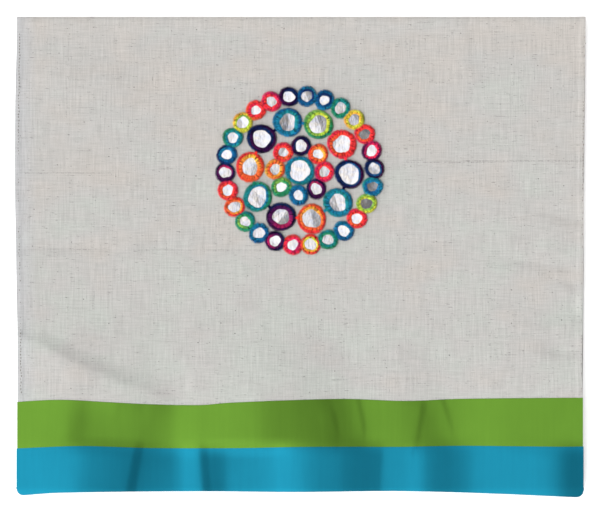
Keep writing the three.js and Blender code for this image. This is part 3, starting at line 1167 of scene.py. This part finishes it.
def turned(local, x, y, angle):  # from (out, along, up) to the runner's own place
    out, along, up = local[..., 0], local[..., 1], local[..., 2]
    return np.stack(
        [
            x + out * math.cos(angle) - along * math.sin(angle),
            y + out * math.sin(angle) + along * math.cos(angle),
            trimBase + up,
        ],
        axis=-1,
    ).reshape(-1, 3)


def sewRing(work, x, y, size, kind, tones, rng):
    s = stitching
    phases = rng.uniform(0, 2 * math.pi, 4)
    oval = rng.uniform(s["roundest"], 1)
    sizes = {**size, "window": size["window"] * rng.uniform(*s["windowRange"][kind])}
    steps = size["stitches"]

    def uneven(angle, share):  # the window's dents, which fade into the outline's
        outside = math.cos(2 * angle + phases[0]) + 0.5 * math.cos(3 * angle + phases[1])
        inside = oval * math.cos(2 * angle + phases[2]) + 0.4 * math.cos(3 * angle + phases[3])
        inside += 0.3 * math.cos(5 * angle + phases[0] + phases[3])
        return 1 + blend(inside * s["windowUneven"], outside * s["uneven"], share)

    across = len(underThread)
    points = []
    faces = []
    for i in range(steps):
        angle = 2 * math.pi * i / steps
        for knot in underThread:
            out = (sizes[knot["size"]] + knot["out"]) * uneven(angle, knot["share"])
            points.append((x + out * math.cos(angle), y + out * math.sin(angle), trimBase + knot["up"]))
        for j in range(across):
            a = i * across + j
            b = i * across + (j + 1) % across
            c = (i + 1) % steps * across + (j + 1) % across
            d = (i + 1) % steps * across + j
            faces.append((a, b, c, d))
    # painted shade: the thread beneath takes a darkened copy of its dye, for the stitches' shadow
    work.add(np.array(points), faces, dyeAt(tones[1]) * s["underPaintedShade"])

    for row, path in enumerate(stitchRows):
        slant = np.linspace(-0.5, 0.5, len(path)) * s["slant"] * (1 if row else -1)
        plies = []
        for side in (-0.5, 0.5):
            line = []
            for knot, lean in zip(path, slant):
                out = sizes[knot["size"]] + knot["out"]
                pitch = 2 * math.pi * out / steps
                line.append((out, (lean + side * knot["spread"] * s["openness"]) * pitch, knot["up"]))
            plies.append(strand(line, s["strand"]))
        shares = np.linspace(0, 0.5, len(path)) + 0.5 * row
        faces = tubeFaces(len(path), s["sides"])
        for i in range(steps):
            angle = 2 * math.pi * (i + 0.5 * row + rng.normal(0, s["jitter"])) / steps
            stretch = np.array([uneven(angle, share) for share in shares])[:, None]
            tone = dyeAt(tones[row] + s["drift"] * math.sin(angle + phases[row]))
            tone = np.clip(tone * (1 + rng.normal(0, s["shadeJitter"])), 0, 1)
            for ply in plies:
                local = ply.copy()
                local[..., 0] = local[..., 0] * stretch + rng.normal(0, s["outJitter"])
                local[..., 2] += rng.normal(0, s["upJitter"])
                work.add(turned(local, x, y, angle), faces, tone)


# Ties: strands side by side, from one large ring to the next
tie = {
    "reach": 1.9,
    "strand": 0.33,
    "spacing": 0.55,
    "splay": 0.4,
    "heights": (0.3, 0.7, 0.8, 0.7, 0.3),  # from one end to the other
}


def sewTie(work, x, y, angle, tone):
    t = tie
    steps = len(t["heights"])
    faces = tubeFaces(steps, stitching["sides"])
    for side in (-t["spacing"], 0, t["spacing"]):
        line = []
        for along, up in zip(np.linspace(-t["reach"], t["reach"], steps), t["heights"]):
            line.append((side * (1 + abs(along) * t["splay"]), along, up))
        work.add(turned(strand(line, t["strand"], across=(-1, 0, 0)), x, y, angle), faces, tone)


def makeStitching():
    rng = np.random.default_rng(11)
    names = list(dyes)
    for circle, c in circles.items():
        work = ThreadWork()
        size = mirrorSizes[c["size"]]
        words = zip(c["outer"].split(), c["inner"].split())
        for (x, y, angle), (outer, inner) in zip(places(circle), words):
            near = names.index(outer)
            over = names.index(inner)
            sewRing(work, x, y, size, c["size"], (over, near), rng)
            if c["tied"]:
                halfStep = math.pi / c["count"]
                out = c["radius"] * math.cos(halfStep)
                tieAngle = angle - halfStep
                tieX = medallion["x"] + out * math.cos(tieAngle)
                tieY = medallion["y"] + out * math.sin(tieAngle)
                sewTie(work, tieX, tieY, tieAngle, dyeAt(near))
        piece = work.piece("stitching" + circle.capitalize())
        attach(piece, "root")
        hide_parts("stitching_" + circle)
        print("stitched", circle, len(piece.data.polygons), "faces")


makeStitching()


# Floor, light and camera

floorFinish = {
    "size": 60.0,  # in metres
    "tone": "#F4F4F4",
    "patch": "#F7F7F7",
    "roughness": 0.9,
    "glow": 0.4,
    "glowTone": "#FFFFFF",
}
floorPatterns = table("name x y z detail", ("patches", 300, 300, 300, 1.0))
studio = {
    "tone": "#FFFFFF",
    "bright": 2.3,
    "dark": 0.285,  # the right side, which the satin shows where it turns away
    "turnFrom": -0.08,
    "turnTo": 0.16,
    "fromFront": 0.45,  # more light from in front, which brings out the creases in the linen
}


def makeFloor():
    # matt acrylic sheet, lit from below: pale and plain, with no shadow on it
    f = floorFinish
    half = f["size"] / 2 / mm
    corners = [(-half, -half, 0), (half, -half, 0), (half, half, 0), (-half, half, 0)]
    floor = newPiece("floor", corners, [(0, 1, 2, 3)])
    material, tree = newMaterial("mattAcrylic")
    share = unevenness(tree, floorPatterns)["patches"]
    tones = {0: share, 1: colour(f["tone"]), 2: colour(f["patch"])}
    look = {"Base Color": addNode(tree, "MixRGB", tones), "Roughness": f["roughness"]}
    look |= {"Specular IOR Level": 0.0, "Emission Color": colour(f["glowTone"])}
    look["Emission Strength"] = f["glow"]
    shader = addNode(tree, "BsdfPrincipled", look)
    addNode(tree, "OutputMaterial", {"Surface": shader})
    floor.data.materials.append(material)


def makeLight():  # soft light from every side, strongest from the left and the front
    s = studio
    world = bpy.data.worlds.new("studio")
    bpy.context.scene.world = world
    world.use_nodes = True
    tree = world.node_tree
    tree.nodes.clear()
    toward = addNode(tree, "TexCoord").outputs["Generated"]
    parts = addNode(tree, "SeparateXYZ", {0: toward})
    across = {"Value": parts.outputs["X"], "From Min": s["turnFrom"], "From Max": s["turnTo"]}
    across |= {"To Min": s["bright"], "To Max": s["dark"]}
    along = {"Value": parts.outputs["Y"], "From Min": -1, "From Max": 1}
    along |= {"To Min": 1 + s["fromFront"], "To Max": 1 - s["fromFront"]}
    across = addNode(tree, "MapRange", across, interpolation_type="SMOOTHSTEP")
    along = addNode(tree, "MapRange", along)
    level = addNode(tree, "Math", {0: across, 1: along}, operation="MULTIPLY")
    background = addNode(tree, "Background", {"Color": colour(s["tone"]), "Strength": level})
    addNode(tree, "OutputWorld", {"Surface": background})
    bpy.context.scene.view_settings.view_transform = "Standard"


makeFloor()
makeLight()
print("floor and light made")

view = {
    "width": 428.1,  # what the picture's width spans on the top layer
    "x": -0.2,
    "y": 3.0,
    "lens": 500,
    "sensor": 36,
}


def makeCamera():
    camera = bpy.data.cameras.new("camera")
    camera.lens = view["lens"]
    camera.sensor_width = view["sensor"]
    holder = bpy.data.objects.new("camera", camera)
    distance = view["width"] * view["lens"] / view["sensor"]
    holder.location = Vector((view["x"], view["y"], topFace + distance)) * mm
    bpy.context.scene.collection.objects.link(holder)
    bpy.context.scene.camera = holder


makeCamera()
print("camera placed")
